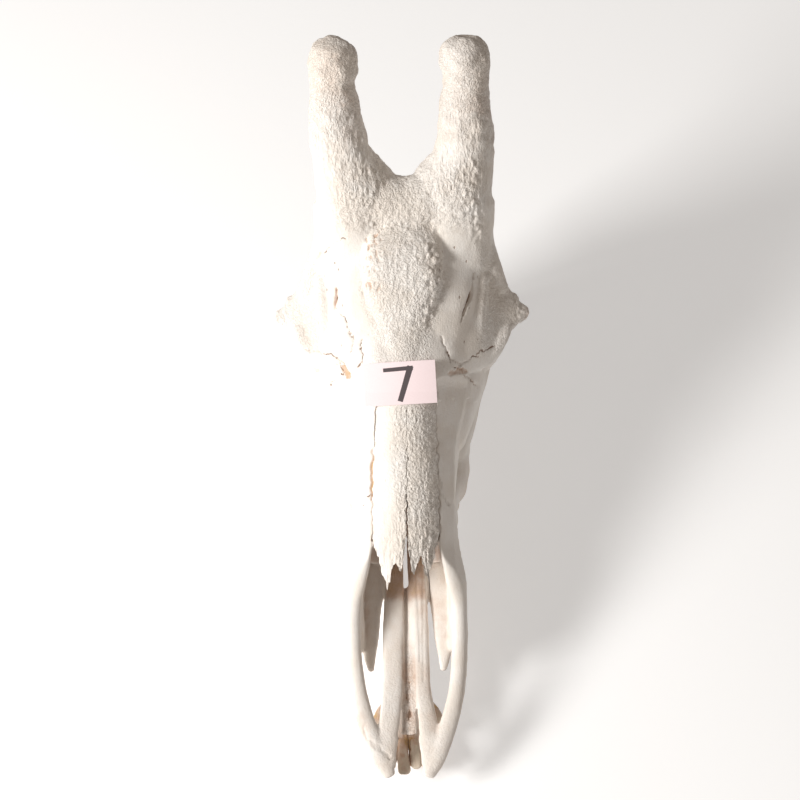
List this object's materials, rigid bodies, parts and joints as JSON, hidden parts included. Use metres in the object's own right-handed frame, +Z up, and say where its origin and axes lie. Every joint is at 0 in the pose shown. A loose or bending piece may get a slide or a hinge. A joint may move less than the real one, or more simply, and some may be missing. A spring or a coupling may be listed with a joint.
{
  "type": "giraffe skull",
  "caption": "Adult giraffe skull with its lower jaw, ossicones and a small numbered paper slip, resting on the lower edge of the jaw.",
  "frame": {"origin": "centre of the bounding box, on the floor", "axes": "+X to the animal's left, +Y from the muzzle to the back of the head, +Z up"},
  "size_m": [0.2722, 0.6422, 0.4951],
  "materials": {
    "bone": "dry, sun-bleached, porous bone",
    "paper": "matt pink paper"
  },
  "bodies": {
    "root": {"cranium": "bone", "ossicone_left": "bone", "ossicone_right": "bone", "median_ossicone": "bone", "maxilla_left": "bone", "maxilla_right": "bone", "nasal_left": "bone", "nasal_right": "bone", "premaxilla_left": "bone", "premaxilla_right": "bone", "mandible_left": "bone", "mandible_right": "bone", "paper_label": "paper"}
  },
  "joints": []
}
